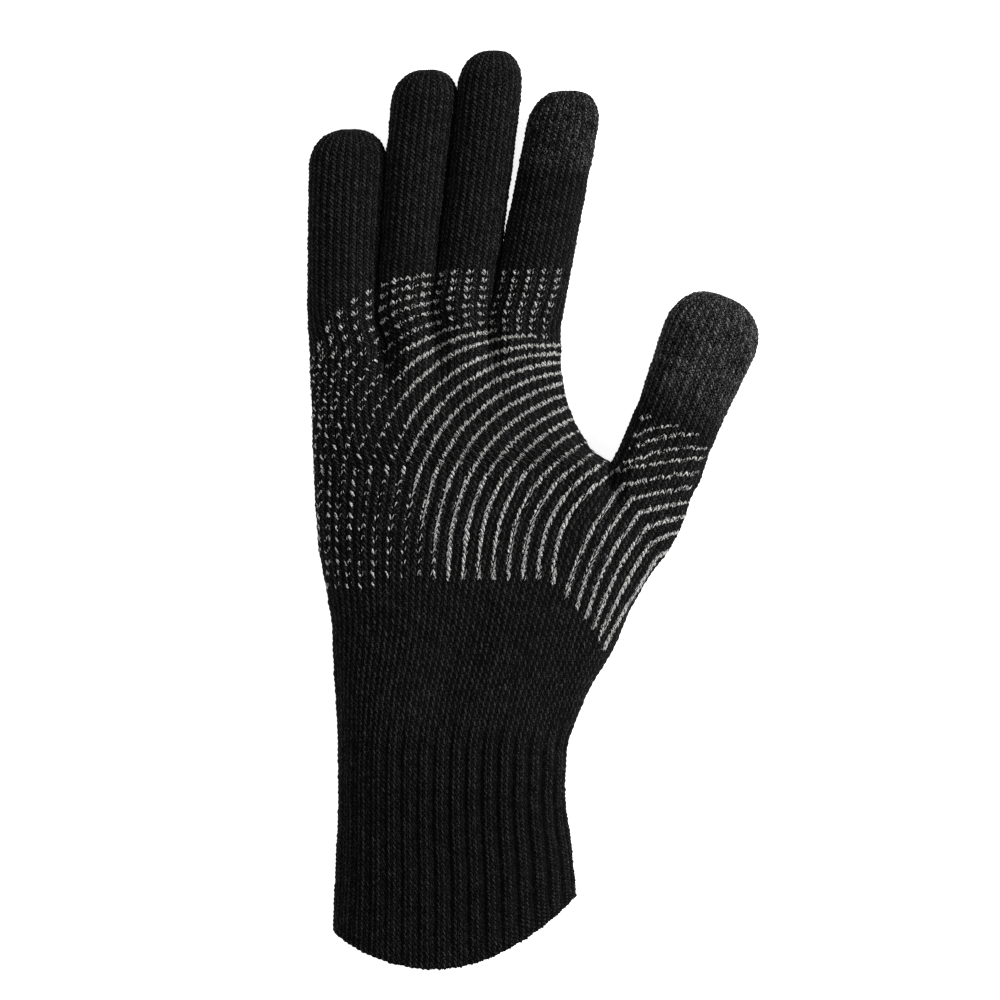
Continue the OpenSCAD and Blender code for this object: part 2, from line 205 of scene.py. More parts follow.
def palm_seam(level):
    """The upper palm's share of a hand ring, closed by a wall at the thumb's crotch."""
    ring = hand_ring(level)
    front, right, back, _ = HAND_WALES
    fork, foot = PALM_WALES[0] * COLS, (front + right + back - PALM_WALES[0]) * COLS
    return np.concatenate([ring[:fork], wall_line(ring[fork], ring[foot], PALM_WALES[1], -0.3),
                           ring[foot:]])


def thumb_seam(level):
    """The thumb's share of a hand ring, closed by a wall at the thumb's crotch."""
    ring = hand_ring(level)
    front, right, back, _ = HAND_WALES
    fork, foot = PALM_WALES[0] * COLS, (front + right + back - PALM_WALES[0]) * COLS
    return np.concatenate([ring[fork:foot], wall_line(ring[foot], ring[fork], THUMB_WALES[3], 0.3)])


def palm_own(level):
    """One ring of the upper palm by itself: a section that parts into four lobes."""
    left, right = size_at(level, LITTLE_SIDE), size_at(level, INDEX_SIDE, 1.0)
    x, z = section(PALM_WALES, (right - left) / 2, size_at(level, HALF_HEIGHT),
                   size_at(level, TIGHTNESS))
    x = x + (left + right) / 2
    x, z = parted(x, z, PALM_WALES, FORKS, (10, 18, 26), ease((level - 26) / (CROTCH - 26)),
                  7.0, 3.0)
    curve = ease((level - 22) / (CROTCH - 22))
    y = level + (size_at(x, CROTCH_ROW) - CROTCH) * curve
    return np.stack([x, y, z], 1)


def fitted(seam, own, share):
    """The seam's ring, stretched across by share towards the width of the tube's own ring."""
    lo, hi = seam[:, 0].min(), seam[:, 0].max()
    x = own[:, 0].min() + (seam[:, 0] - lo) * (own[:, 0].max() - own[:, 0].min()) / (hi - lo)
    return np.stack([seam[:, 0] + (x - seam[:, 0]) * share, seam[:, 1], seam[:, 2]], 1)


def palm_ring(level):
    """The upper palm, which grows out of the hand's ring over 12 mm."""
    if level <= THUMB_FORK[1]:
        return palm_seam(level)
    seam, own = palm_seam(THUMB_FORK[1]), palm_own(level)
    past = level - THUMB_FORK[1]
    seam = fitted(seam, own, ease(past / 3)) + [0, past, 0]
    w = ease(past / 12)
    return seam * (1 - w) + own * w


def finger_seam(name, level):
    """A finger's share of a palm ring, closed by a wall at each crotch beside it."""
    ring = palm_ring(level)
    front, right, back, _ = PALM_WALES
    first, wales = FINGERS[name]["first"], FINGERS[name]["wales"]
    last = first + wales[0]
    around = front + right + back
    a, b = first * COLS, last * COLS
    c, d = (around - last) * COLS, (around - first) * COLS
    inner = wall_line(ring[b], ring[c], wales[1], -0.3) if last < front else ring[b:c]
    outer = wall_line(ring[d % len(ring)], ring[a], wales[3], 0.3) if first > 0 else ring[d:]
    return np.concatenate([ring[a:b], inner, ring[c:d], outer])


def parabola(y, ys, xs):
    """The parabola through three points."""
    (a, b, c), (p, q, r) = ys, xs
    return (p * (y - b) * (y - c) / ((a - b) * (a - c))
            + q * (y - a) * (y - c) / ((b - a) * (b - c))
            + r * (y - a) * (y - b) / ((c - a) * (c - b)))


def dome(past, length, half_w):
    """How far along, and how narrow, a rounded tip is at the arc length past its start.

    The tip's profile is (cos t)^(2/m), (sin t)^(2/m) with m = 2.3, walked by arc length."""
    t = np.linspace(0, np.pi / 2, 400)
    up, narrow = np.sin(t) ** (2 / 2.3), np.cos(t) ** (2 / 2.3)
    run = np.concatenate([[0], np.cumsum(np.hypot(np.diff(up) * length, np.diff(narrow) * half_w))])
    return np.interp(past, run, up) * length, np.interp(past, run, narrow), run[-1]


def finger_ring(name, level):
    """One ring of a finger, level mm along it from its crotch row."""
    if level <= 0:
        return finger_seam(name, CROTCH + level)
    f = FINGERS[name]
    seam = finger_seam(name, CROTCH)
    foot = seam[:, 1].mean()
    start = f["y"][2] - FINGER_DOME
    past = max(0.0, foot + level - start)
    half_w = np.interp(min(foot + level, start), [f["y"][0], f["y"][1], start], f["half_w"])
    ahead, narrow, _ = dome(past, FINGER_DOME, half_w)
    y = min(foot + level, start) + ahead
    x, z = section(f["wales"], half_w, FINGER_HALF_H)
    middle = SUNK * FINGER_HALF_H
    own = np.stack([parabola(y, f["y"], f["x"]) + x * narrow, np.full(len(x), y),
                    middle + (z - middle) * narrow], 1)
    w = ease(level / 14)
    seam = fitted(seam, own, ease(level / 9))
    seam[:, 1] = (seam[:, 1] + level) * (1 - w) + y * w
    return seam * (1 - w) + own * w


def thumb_axes():
    """Unit vectors along the thumb and across it."""
    s, c = math.sin(THUMB_LEAN), math.cos(THUMB_LEAN)
    return np.array([s, c, 0.0]), np.array([c, -s, 0.0])


def thumb_ring(level):
    """One ring of the thumb, level mm along it from its crotch row."""
    if level <= 0:
        return thumb_seam(THUMB_FORK[1] + level)
    out, across = thumb_axes()
    start = np.array([*THUMB_START, 0.0])
    seam = thumb_seam(THUMB_FORK[1])
    seam_across, seam_out = (seam - start) @ across, (seam - start) @ out
    foot = seam_out.mean()
    rim = THUMB_LEN - THUMB_DOME
    past = max(0.0, foot + level - rim)
    half_w = size_at(min(foot + level, rim), THUMB_HALF_W)
    ahead, narrow, _ = dome(past, THUMB_DOME, half_w)
    d = min(foot + level, rim) + ahead
    x, z = section(THUMB_WALES, half_w, THUMB_HALF_H)
    middle = SUNK * THUMB_HALF_H
    own = np.stack([x * narrow, np.full(len(x), d), middle + (z - middle) * narrow], 1)
    w = ease(level / 16)
    local = fitted(np.stack([seam_across, seam_out, seam[:, 2]], 1), own, ease(level / 9))
    local[:, 1] = (local[:, 1] + level) * (1 - w) + d * w
    local = local * (1 - w) + own * w
    return start + local[:, :1] * across + local[:, 1:2] * out + local[:, 2:] * [0, 0, 1]


def hem_ring(level):
    """The hand's rings carried on below the hem: the edge rolls in round a small circle and
    the lining then climbs back up inside."""
    radius = HEM_ROLL
    turn = min((HEM + radius - level) / radius, np.pi) if level < HEM + radius else 0.0
    climb = max(0.0, HEM + radius - level - np.pi * radius)
    ring = hand_ring(max(level, HEM + radius))
    centre = ring.mean(0)
    away = (ring - centre) * [1, 0, 1]
    away = away / np.linalg.norm(away, axis=1, keepdims=True)
    ring = ring - away * radius * (1 - math.cos(turn))
    ring[:, 1] += -radius * math.sin(turn) + climb
    return ring


# ---- Stitches -------------------------------------------------------------------------------


def leg_across(u):
    """Height of a V stitch across its wale: a wide left leg, a narrow right leg, and a deep
    furrow at the point of the V."""
    return np.interp(u, [0, 1 / 6, 2 / 6, 3 / 6, 4 / 6, 5 / 6, 1],
                     [0.3, 0.85, 1, 0.75, 0, 0.62, 0.3])


def leg_along(v):
    """Height of a stitch along its wale: a rounded back with a furrow before the next."""
    return np.interp(v, [0, 1 / 4, 2 / 4, 3 / 4, 1], [0, 0.8, 1, 0.72, 0])


def chevron(u):
    """How many courses a row dips at u across the wale: a V with its point at APEX."""
    return NEST * np.interp(u, [0, APEX, 1], [0, 1, 0])


class Knit:
    """A knitted tube: rings of points along it, their normals, and its courses."""

    def __init__(self, ring, first, last, wales, pitch, seed, step=0.7, rib=None, closed=False):
        self.levels = np.arange(first - 5, last + 5 + step, step)
        if closed:
            self.levels = self.levels[self.levels < last + step]
        self.rings = np.array([ring(v) for v in self.levels])
        around = np.roll(self.rings, -1, 1) - np.roll(self.rings, 1, 1)
        forward = np.gradient(self.rings, axis=0)
        normals = np.cross(around, forward)
        # A few turns of smoothing keep the normals steady across the forks.
        normals = sum(np.roll(normals, k, 1) for k in range(-3, 4))
        self.normals = normals / np.maximum(np.linalg.norm(normals, axis=2, keepdims=True), 1e-9)
        self.wales, self.total, self.seed, self.rib = wales, sum(wales), seed, rib
        # Level of each course boundary, from two before the first.
        marks, at = [first - 2 * pitch(first), first - pitch(first), first], first
        while at < last:
            at += pitch(at)
            marks.append(at)
        self.courses = len(marks) - 3
        # The last course is stretched to end where the piece ends.
        marks = np.array(marks)
        marks[3:] = first + (marks[3:] - first) * (last - first) / (marks[-1] - first)
        self.marks = np.concatenate([marks, [marks[-1] + pitch(last)]])
        self.closed = closed
        rng = np.random.default_rng(seed)
        self.vigour = rng.uniform(0.72, 1.18, (self.courses + 4, self.total))
        self.lean = rng.normal(0, 0.11, (self.courses + 4, self.total))
        self.swell = rng.normal(0, 1, (self.courses // 5 + 4, self.total // 5 + 2))

    def level(self, course):
        return np.interp(course, np.arange(len(self.marks)) - 2, self.marks)

    def base(self, course, wale):
        """Point and normal of the bare tube at (course, wale), by straight interpolation."""
        level = self.level(course)
        k = np.clip(np.searchsorted(self.levels, level) - 1, 0, len(self.levels) - 2)
        t = ((level - self.levels[k]) / (self.levels[k + 1] - self.levels[k]))[..., None]
        column = wale * COLS
        i = np.floor(column).astype(int)
        s = (column - i)[..., None]
        i, j = i % (self.total * COLS), (i + 1) % (self.total * COLS)

        def read(grid):
            return ((grid[k, i] * (1 - s) + grid[k, j] * s) * (1 - t)
                    + (grid[k + 1, i] * (1 - s) + grid[k + 1, j] * s) * t)

        return read(self.rings), read(self.normals)

    def noise(self, course, wale):
        """Slow swelling of the fabric, from a coarse grid of random heights."""
        a, b = np.clip(course, 0, self.courses) / 5, (wale % self.total) / 5
        i, j = np.floor(a).astype(int), np.floor(b).astype(int)
        s, t = ease(a - i), ease(b - j)
        n = self.swell
        jn = np.where(j + 1 >= n.shape[1] - 1, 0, j + 1)
        return ((n[i, j] * (1 - t) + n[i, jn] * t) * (1 - s)
                + (n[i + 1, j] * (1 - t) + n[i + 1, jn] * t) * s)

    def relief(self, course, wale):
        """Height of the stitches, 0 in a furrow to 1 on a crest, and of the rib in mm."""
        u = wale % 1
        i = np.clip(np.floor(course).astype(int) + 2, 0, len(self.vigour) - 1)
        j = np.floor(wale).astype(int) % self.total
        v = course % 1
        height = leg_across(u) * leg_along(v) * self.vigour[i, j]
        if self.rib is None:
            return height, 0.0 * height
        # Two plain wales and one that is turned to the back, drawn in to a furrow.
        share = self.rib(self.level(course), wale)
        m = (wale % 3) - 2.5
        m = np.where(m < -1.5, m + 3, m)
        furrow = np.exp(-((m / 0.62) ** 2))
        height = height * (1 - 0.8 * share * furrow)
        return height, -share * (0.9 * furrow - 0.2)

    def points(self, course, wale, proud=0.0):
        """Points of the finished fabric, and the stitch height at them."""
        u = wale % 1
        dip = chevron(u)
        i = np.clip(np.floor(course).astype(int) + 2, 0, len(self.lean) - 1)
        j = np.floor(wale).astype(int) % self.total
        point, normal = self.base(course - dip, wale)
        height, rib = self.relief(course, wale)
        thick = 0.46 * height + rib + 0.1 * self.noise(course - dip, wale)
        thick = thick + self.lean[i, j] * height * 0.6
        if self.closed:
            # Stitches shrink towards the closed end of a finger.
            left = (self.level(course - dip) - self.marks[-2]) / -CLOSING
            thick = thick * np.clip(left, 0.15, 1)
        return point + normal * (thick + proud)[..., None], height

    def grid(self, from_course, to_course):
        """The rows and columns of the mesh between two courses."""
        course = np.arange(from_course * ROWS, to_course * ROWS + 1) / ROWS
        wale = np.arange(self.total * COLS) / COLS
        return np.broadcast_arrays(course[:, None], wale[None, :])

    def course_at(self, level):
        """The whole course nearest to a level."""
        return int(round(float(np.interp(level, self.marks, np.arange(len(self.marks)) - 2))))


# ---- Meshes ---------------------------------------------------------------------------------
scene_root = bpy.context.scene.collection


def make_mesh(name, points, quads, tris=None, attributes=None):
    """A mesh object at the origin, from points in millimetres."""
    mesh = bpy.data.meshes.new(name)
    points = np.asarray(points, float).reshape(-1, 3) * MM
    quads = np.asarray(quads, int).reshape(-1, 4)
    tris = np.zeros((0, 3), int) if tris is None else np.asarray(tris, int).reshape(-1, 3)
    loops = np.concatenate([quads.ravel(), tris.ravel()])
    sizes = np.concatenate([np.full(len(quads), 4), np.full(len(tris), 3)])
    mesh.vertices.add(len(points))
    mesh.vertices.foreach_set("co", points.ravel())
    mesh.loops.add(len(loops))
    mesh.loops.foreach_set("vertex_index", loops)
    mesh.polygons.add(len(sizes))
    mesh.polygons.foreach_set("loop_start", np.concatenate([[0], np.cumsum(sizes)[:-1]]))
    mesh.polygons.foreach_set("loop_total", sizes)
    mesh.update(calc_edges=True)
    for key, values in (attributes or {}).items():
        layer = mesh.attributes.new(key, "FLOAT", "POINT")
        layer.data.foreach_set("value", np.asarray(values, np.float32).ravel())
    mesh.polygons.foreach_set("use_smooth", np.full(len(sizes), True))
    obj = bpy.data.objects.new(name, mesh)
    scene_root.objects.link(obj)
    return obj


def tube_quads(rows, columns):
    """Quads of a grid that closes on itself across its columns, facing outwards."""
    index = np.arange(rows * columns).reshape(rows, columns)
    a, b = index[:-1], np.roll(index[:-1], -1, 1)
    c, d = np.roll(index[1:], -1, 1), index[1:]
    return np.stack([a, b, c, d], -1).reshape(-1, 4)


def knit_piece(name, knit, start, end, material):
    """The mesh of a knitted tube between two courses, closed by a pole at a fingertip."""
    course, wale = knit.grid(start, end)
    points, height = knit.points(course, wale)
    rows, columns = course.shape
    quads, tris = tube_quads(rows, columns), None
    heights = height.ravel()
    random = np.random.default_rng(knit.seed + 7).uniform(0, 1, knit.vigour.shape)
    i = np.clip(np.floor(course).astype(int) + 2, 0, len(random) - 1)
    shade = random[i, np.floor(wale).astype(int) % knit.total].ravel()
    flat = points.reshape(-1, 3)
    if knit.closed and end == knit.courses:
        pole = len(flat)
        flat = np.concatenate([flat, [points[-1].mean(0)]])
        last = np.arange((rows - 1) * columns, rows * columns)
        tris = np.stack([last, np.roll(last, -1), np.full(columns, pole)], 1)
        heights, shade = np.append(heights, 0.3), np.append(shade, 0.5)
    obj = make_mesh(name, flat, quads, tris, {"height": heights, "shade": shade})
    obj.data.materials.append(material)
    return obj


# ---- Materials ------------------------------------------------------------------------------


def colour(hex_code):
    """An sRGB hex colour as linear RGBA."""
    channels = [int(hex_code[i : i + 2], 16) / 255 for i in (1, 3, 5)]
    return [c / 12.92 if c <= 0.04045 else ((c + 0.055) / 1.055) ** 2.4 for c in channels] + [1]


def add(tree, kind, inputs=None, **settings):
    """Adds a node. inputs maps a socket's name or number to a value or to another socket."""
    node = tree.nodes.new(kind)
    for key, value in settings.items():
        setattr(node, key, value)
    for key, value in (inputs or {}).items():
        if isinstance(value, bpy.types.NodeSocket):
            tree.links.new(value, node.inputs[key])
        else:
            node.inputs[key].default_value = value
    return node


def new_material(name):
    material = bpy.data.materials.new(name)
    material.use_nodes = True
    material.node_tree.nodes.clear()
    return material, material.node_tree


def ramp(tree, factor, stops, interpolation="LINEAR"):
    """A colour ramp through (position, hex colour) stops."""
    node = add(tree, "ShaderNodeValToRGB", {"Fac": factor})
    node.color_ramp.interpolation = interpolation
    elements = node.color_ramp.elements
    while len(elements) < len(stops):
        elements.new(0.5)
    for element, (position, code) in zip(elements, stops):
        element.position, element.color = position, colour(code)
    return node.outputs["Color"]


def yarn(name, furrow, body, crest, ends, ends_from=0.62, fade=None):
    """Spun acrylic yarn, knitted: fine crimped fibres, so it is dull and soft. Its colour is
    painted darker in the stitch furrows and lighter on the crests by stitch height, as painted
    shade and painted light, and greyed by loose fibre ends on the crests.

    furrow, body and crest are its colours by stitch height and fibre, and ends is that of the
    loose fibre ends, which stand out where the fibre noise passes ends_from. fade gives a
    direction and the two places along it, in mm, between which the ends set in."""
    material, tree = new_material(name)
    place = add(tree, "ShaderNodeTexCoord").outputs["Object"]
    height = add(tree, "ShaderNodeAttribute", attribute_name="height").outputs["Fac"]
    shade = add(tree, "ShaderNodeAttribute", attribute_name="shade").outputs["Fac"]
    # Fibres are about 0.02 mm thick: too fine to show, so they are drawn 0.3 mm wide.
    fibre = add(tree, "ShaderNodeTexNoise", {"Vector": place, "Scale": 3300.0, "Detail": 2.0,
                                             "Roughness": 0.7}).outputs["Fac"]
    # Tone is the stitch's height, roughened by the fibres most where it is high: painted shade
    # darkens the furrows and painted light brightens the crests.
    swing = add(tree, "ShaderNodeMath", {0: fibre, 1: 4.0, 2: -1.5},
                operation="MULTIPLY_ADD").outputs[0]
    lift = add(tree, "ShaderNodeMath", {0: height, 1: 0.82, 2: 0.1},
               operation="MULTIPLY_ADD").outputs[0]
    tone = add(tree, "ShaderNodeMath", {0: swing, 1: lift}, operation="MULTIPLY").outputs[0]
    base = ramp(tree, tone, [(0.0, furrow), (0.28, body), (0.6, crest)])
    loose = add(tree, "ShaderNodeMath", {0: shade, 1: 0.1, 2: fibre},
                operation="MULTIPLY_ADD").outputs[0]
    loose = add(tree, "ShaderNodeMapRange", {"Value": loose, "From Min": ends_from,
                                             "From Max": ends_from + 0.12}).outputs["Result"]
    # The loose fibre ends are dimmed by the same stitch height: painted shade in the furrows.
    loose = add(tree, "ShaderNodeMath", {0: loose, 1: lift}, operation="MULTIPLY").outputs[0]
    if fade:
        direction, start, end = fade
        along = add(tree, "ShaderNodeVectorMath", {0: place, 1: direction},
                    operation="DOT_PRODUCT").outputs["Value"]
        share = add(tree, "ShaderNodeMapRange", {"Value": along, "From Min": start * MM,
                                                 "From Max": end * MM}).outputs["Result"]
        loose = add(tree, "ShaderNodeMath", {0: loose, 1: share}, operation="MULTIPLY").outputs[0]
    tint = add(tree, "ShaderNodeMix", {"Factor": loose, "A": base, "B": colour(ends)},
               data_type="RGBA")
    bump = add(tree, "ShaderNodeBump", {"Strength": 0.5, "Distance": 0.00012, "Height": fibre})
    shader = add(tree, "ShaderNodeBsdfPrincipled", {
        "Base Color": tint.outputs["Result"], "Roughness": 0.85, "Normal": bump.outputs["Normal"],
        "Specular IOR Level": 0.008, "Sheen Weight": 0.004, "Sheen Roughness": 0.6})
    add(tree, "ShaderNodeOutputMaterial", {"Surface": shader.outputs["BSDF"]})
    return material


def silicone_print():
    """Pale silicone, screen printed and cured on the knit: it grips the crests of the
    stitches as a thin rubbery film with a soft shine and a slightly uneven, pitted skin."""
    material, tree = new_material("printed_silicone")
    place = add(tree, "ShaderNodeTexCoord").outputs["Object"]
    # Pits and thin places in the film, about 0.3 mm across.
    pits = add(tree, "ShaderNodeTexNoise", {"Vector": place, "Scale": 3600.0, "Detail": 4.0,
                                            "Roughness": 0.8}).outputs["Fac"]
    tone = ramp(tree, pits, [(0.34, "#141414"), (0.47, "#6e6e6c"), (0.6, "#e4e4e1")])
    bump = add(tree, "ShaderNodeBump", {"Strength": 0.4, "Distance": 0.0001, "Height": pits})
    shader = add(tree, "ShaderNodeBsdfPrincipled", {
        "Base Color": tone, "Roughness": 0.42, "IOR": 1.41, "Normal": bump.outputs["Normal"]})
    add(tree, "ShaderNodeOutputMaterial", {"Surface": shader.outputs["BSDF"]})
    return material


THUMB_OUT = tuple(float(v) for v in thumb_axes()[0])
THUMB_FADE = THUMB_START[0] * THUMB_OUT[0] + THUMB_START[1] * THUMB_OUT[1] + 15
# In each yarn the first colour is painted shade for the furrows and the third is painted light for
# the crests.
black_yarn = yarn("black_acrylic_yarn", "#010101", "#131313", "#333334", "#4c4c4c")
rib_yarn = yarn("black_rib_yarn", "#010101", "#121212", "#2f2f30", "#484848")
# Silver-coated nylon spun in with the black: short grey flecks.
thumb_yarn = yarn("conductive_thumb_yarn", "#010101", "#151515", "#3a3a3a", "#8e8e8e", 0.58,
                  (THUMB_OUT, THUMB_FADE + 2, THUMB_FADE + 14))
index_yarn = yarn("conductive_index_yarn", "#010101", "#131313", "#343434", "#7c7c7c", 0.6,
                  ((0, 1, 0), 94.0, 98.0))


def elastic_thread():
    """Elastane thread covered with black nylon: smooth, tightly wound and slightly shiny."""
    material, tree = new_material("covered_elastane")
    place = add(tree, "ShaderNodeTexCoord").outputs["Object"]
    # The cover's turns are 0.3 mm apart; they are drawn 0.6 mm apart.
    turns = add(tree, "ShaderNodeTexWave", {"Vector": place, "Scale": 520.0, "Distortion": 1.5,
                                            "Detail": 1.0}, bands_direction="DIAGONAL")
    tone = ramp(tree, turns.outputs["Fac"], [(0.0, "#0a0a0b"), (1.0, "#2b2b2e")])
    bump = add(tree, "ShaderNodeBump", {"Strength": 0.5, "Distance": 0.0001,
                                        "Height": turns.outputs["Fac"]})
    shader = add(tree, "ShaderNodeBsdfPrincipled", {
        "Base Color": tone, "Roughness": 0.5, "Normal": bump.outputs["Normal"]})
    add(tree, "ShaderNodeOutputMaterial", {"Surface": shader.outputs["BSDF"]})
    return material


covered_elastane = elastic_thread()
grip_film = silicone_print()

# ---- The glove's pieces ---------------------------------------------------------------------


def course_pitch(level):
    return float(size_at(level, COURSE))


def rib_share(level, wale):
    """How much of the rib shows: none on the hand and most on the cuff's thumb side, where
    the fabric is least stretched."""
    side = np.cos(2 * np.pi * (wale - 38) / sum(HAND_WALES))
    hem = 0.2 + 0.8 * ease((level - HEM) / 12)
    return (1 - ease((level + 70) / 15)) * (0.56 + 0.38 * side) * hem


def finish_piece(obj, body, slot, *nodes, blend=None):
    """Joins a piece to its body, or, where blend is given, bakes its place into its mesh, and hides
    the parts of model.glb that it stands for.
    """
    if blend:
        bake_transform(obj)
    else:
        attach(obj, body)
    if nodes:
        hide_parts(*nodes)
    return obj


hand = Knit(hem_ring, HEM - 5, THUMB_FORK[1], HAND_WALES, course_pitch, 11, rib=rib_share)
palm = Knit(palm_ring, THUMB_FORK[1], CROTCH, PALM_WALES, course_pitch, 12)
cuff_end, wrist_end = hand.course_at(CUFF_END), hand.course_at(WRIST_END)

finish_piece(knit_piece("cuff", hand, 0, cuff_end, rib_yarn), "cuff", "rib_knit",
             "cuff_rib", "cuff_hem")
finish_piece(knit_piece("wrist", hand, cuff_end, wrist_end, black_yarn), ("hand", "cuff"),
             "knit_shell", "wrist_band", blend=WRIST_FOLD)
finish_piece(knit_piece("heel_of_hand", hand, wrist_end, hand.courses, black_yarn), "hand",
             "knit_shell", "lower_hand")
finish_piece(knit_piece("palm_and_back", palm, 0, palm.courses, black_yarn), "hand",
             "knit_shell", "upper_palm")

knits = {"hand": hand, "palm": palm}
for order, (name, f) in enumerate(FINGERS.items()):
    foot = finger_seam(name, CROTCH)[:, 1].mean()
    rim = f["y"][2] - FINGER_DOME
    length = rim - foot + dome(0, FINGER_DOME, f["half_w"][2])[2]
    knit = Knit(lambda v, name=name: finger_ring(name, v), 0, length - 0.3, f["wales"],
                lambda v: 1.4 - 0.14 * float(ease(v / 10)), 20 + order, closed=True)
    knits[name] = knit
    middle = knit.course_at((f["y"][0] + f["y"][1]) / 2 - foot)
    low, high = f"{name}_lower", f"{name}_upper"
    x = f["x"][0]
    finish_piece(knit_piece(f"{name}_finger_base", knit, 0, middle, black_yarn), ("hand", low),
                 "knit_shell", f"{name}_base_band", f"{name}_lower",
                 blend=[(x, y, FINGER_AXIS) for y in FINGER_BASE_FOLD])
    x, y = f["x"][1], f["y"][1]
    across_knuckle = [(x, y + reach, FINGER_AXIS) for reach in (-KNUCKLE_REACH, KNUCKLE_REACH)]
    tip = knit.course_at(INDEX_TOUCH_FROM - foot) if name == "index" else knit.courses
    finish_piece(knit_piece(f"{name}_finger_end", knit, middle, tip, black_yarn), (low, high),
                 "knit_shell", f"{name}_knuckle_band", f"{name}_upper", blend=across_knuckle)
    if name == "index":
        finish_piece(knit_piece("index_touch_end", knit, tip, knit.courses, index_yarn),
                     (low, high), "conductive_yarn", "index_touch_tip", blend=across_knuckle)

out, across = thumb_axes()
start = np.array([*THUMB_START, 0.0])
thumb_foot = ((thumb_seam(THUMB_FORK[1]) - start) @ out).mean()
length = (THUMB_LEN - THUMB_DOME - thumb_foot
          + dome(0, THUMB_DOME, THUMB_HALF_W[2][1])[2])
thumb = Knit(thumb_ring, 0, length - 0.3, THUMB_WALES,
             lambda v: 1.5 - 0.2 * float(ease(v / 12)), 31, closed=True)
knits["thumb"] = thumb
split = thumb.course_at(THUMB_TOUCH_FROM - thumb_foot)


def on_thumb(d):
    """A point d mm along the thumb, at the height of its joints."""
    return (*(start + out * d)[:2], THUMB_AXIS)


finish_piece(knit_piece("thumb_base", thumb, 0, split, black_yarn), ("hand", "thumb_lower"),
             "knit_shell", "thumb_base_band", "thumb_lower",
             blend=[on_thumb(d) for d in THUMB_BASE_FOLD])
finish_piece(knit_piece("thumb_end", thumb, split, thumb.courses, thumb_yarn),
             ("thumb_lower", "thumb_upper"), "conductive_yarn", "thumb_knuckle_band",
             "thumb_touch_tip", blend=[on_thumb(d) for d in THUMB_KNUCKLE_FOLD])


def inner_ring(level, depth):
    """A hand ring drawn in by depth, for what lies against the inner face of the knit."""
    ring = hand_ring(level)
    centre = (ring.max(0) + ring.min(0)) / 2
    away = (ring - centre) * [1, 0, 1]
    return ring - away / np.linalg.norm(away, axis=1, keepdims=True) * depth


def inner_face(name, low, high):
    """The back of the knit, seen through the open cuff: rings about 0.8 mm apart, two
    points a wale, every second ring a little deeper as a slight wave. It faces inwards."""
    count = int((high - low) / 0.8) + 1
    levels = np.linspace(low, high, count)
    points = np.array([inner_ring(v, INNER_FACE + 0.25 * (k % 2))[:: COLS // 2]
                       for k, v in enumerate(levels)])
    rows, columns = points.shape[:2]
    quads = tube_quads(rows, columns)[:, ::-1]
    # Every second ring takes the lighter crest tone and the rings between take the darker furrow
    # tone: painted light and painted shade from ring to ring.
    wave = np.repeat((np.arange(rows) % 2) * 0.6 + 0.1, columns)
    obj = make_mesh(name, points, quads, attributes={"height": wave, "shade": 0.3 + 0 * wave})
    obj.data.materials.append(rib_yarn)
    return obj


finish_piece(inner_face("cuff_inside", HEM + 0.6, -76), "cuff", "rib_knit")
finish_piece(inner_face("wrist_inside", -76, -46), ("hand", "cuff"), "knit_shell",
             blend=WRIST_FOLD)
finish_piece(inner_face("hand_inside", -46, 2), "hand", "knit_shell")


def elastic_threads():
    """Five covered elastic threads laid round the inside of the cuff: each is a ring of the
    knit drawn in by ELASTIC_DEPTH, with an eight-sided round carried along it."""
    points, quads = [], []
    turn = np.arange(8) * np.pi / 4
    for k in range(1, 6):
        ring = inner_ring(HEM + (CUFF_TOP - HEM) * k / 6, ELASTIC_DEPTH)[::3]
        ahead = np.roll(ring, -1, 0) - np.roll(ring, 1, 0)
        ahead /= np.linalg.norm(ahead, axis=1, keepdims=True)
        side = np.cross(ahead, [0, 1, 0])
        side /= np.linalg.norm(side, axis=1, keepdims=True)
        up = np.cross(side, ahead)
        round_ = (side[:, None] * np.cos(turn)[:, None] + up[:, None] * np.sin(turn)[:, None])
        round_ = round_ * ELASTIC_RADIUS
        loop = np.concatenate([ring[:, None] + round_, (ring[:, None] + round_)[:1]])
        rows = len(loop) - 1
        index = np.arange(rows * 8).reshape(rows, 8)
        a, b = index, np.roll(index, -1, 1)
        c, d = np.roll(b, -1, 0), np.roll(a, -1, 0)
        quads.append(np.stack([a, b, c, d], -1).reshape(-1, 4) + len(points) * rows * 8)
        points.append(loop[:-1].reshape(-1, 3))
    obj = make_mesh("elastic_threads", np.concatenate(points), np.concatenate(quads))
    obj.data.materials.append(covered_elastane)
    return obj


finish_piece(elastic_threads(), "cuff", "elastic_yarn", "cuff_elastic")

# ---- Printed grip ---------------------------------------------------------------------------
FINE_COLS, FINE_ROWS = 12, 8  # mesh columns in a wale and rows in a course of the print


def bowed(a, b, bow):
    """Points from a to b, bowed out to the left of the way by bow."""
    t = np.linspace(0, 1, 60)[:, None]
    a, b = np.array(a), np.array(b)
    left = np.array([a[1] - b[1], b[0] - a[0]]) / np.linalg.norm(b - a)
    return a + (b - a) * t + left * bow * np.sin(np.pi * t)


